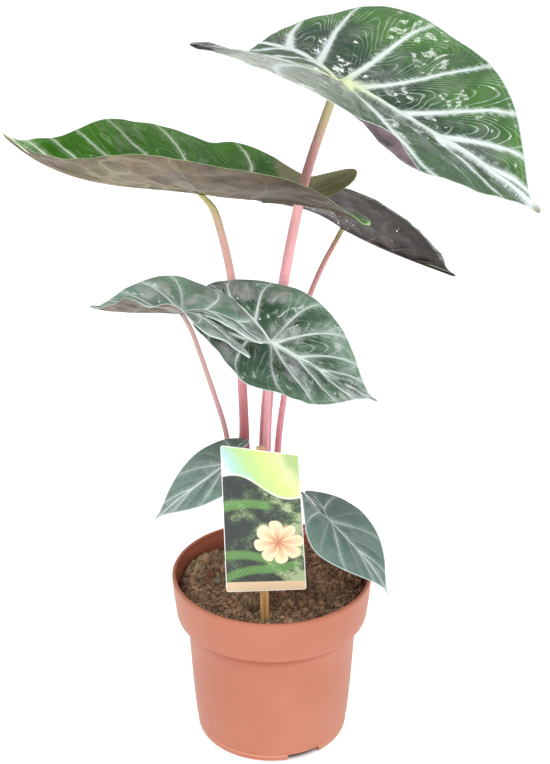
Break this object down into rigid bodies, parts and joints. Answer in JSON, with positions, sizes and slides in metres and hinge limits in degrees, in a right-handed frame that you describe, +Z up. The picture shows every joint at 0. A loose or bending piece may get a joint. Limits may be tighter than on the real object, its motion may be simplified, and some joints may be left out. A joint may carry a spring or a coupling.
{
  "type": "potted pink dragon alocasia",
  "caption": "Young alocasia with arrow-shaped pale-veined leaves on tall pink stalks, standing in soil in a round terracotta-coloured nursery pot with a plant card on a stick.",
  "frame": {"origin": "middle of the pot's underside, on the ground that the pot stands on", "axes": "+Z up along the pot's axis, -Y towards the front where the plant card faces, +X to the right as seen from the front"},
  "size_m": [0.2827, 0.2315, 0.4326],
  "materials": {
    "pot": "satin",
    "soil": "matt, crumbly",
    "bamboo": "matt",
    "card": "satin print",
    "stalk": "satin",
    "blade_green": "satin",
    "blade_dark": "satin",
    "blade_pale": "satin"
  },
  "bodies": {
    "root": {"pot": "pot", "soil": "soil", "card_stick": "bamboo", "plant_card": "card", "stalk_top_right": "stalk", "stalk_upper_left": "stalk", "stalk_back_right": "stalk", "stalk_middle_left": "stalk", "stalk_middle_right": "stalk", "stalk_low_left": "stalk", "stalk_low_right": "stalk", "blade_top_right": "blade_green", "blade_upper_left": "blade_green", "blade_back_right": "blade_dark", "blade_middle_left": "blade_green", "blade_middle_right": "blade_green", "blade_low_left": "blade_pale", "blade_low_right": "blade_pale"}
  },
  "joints": []
}
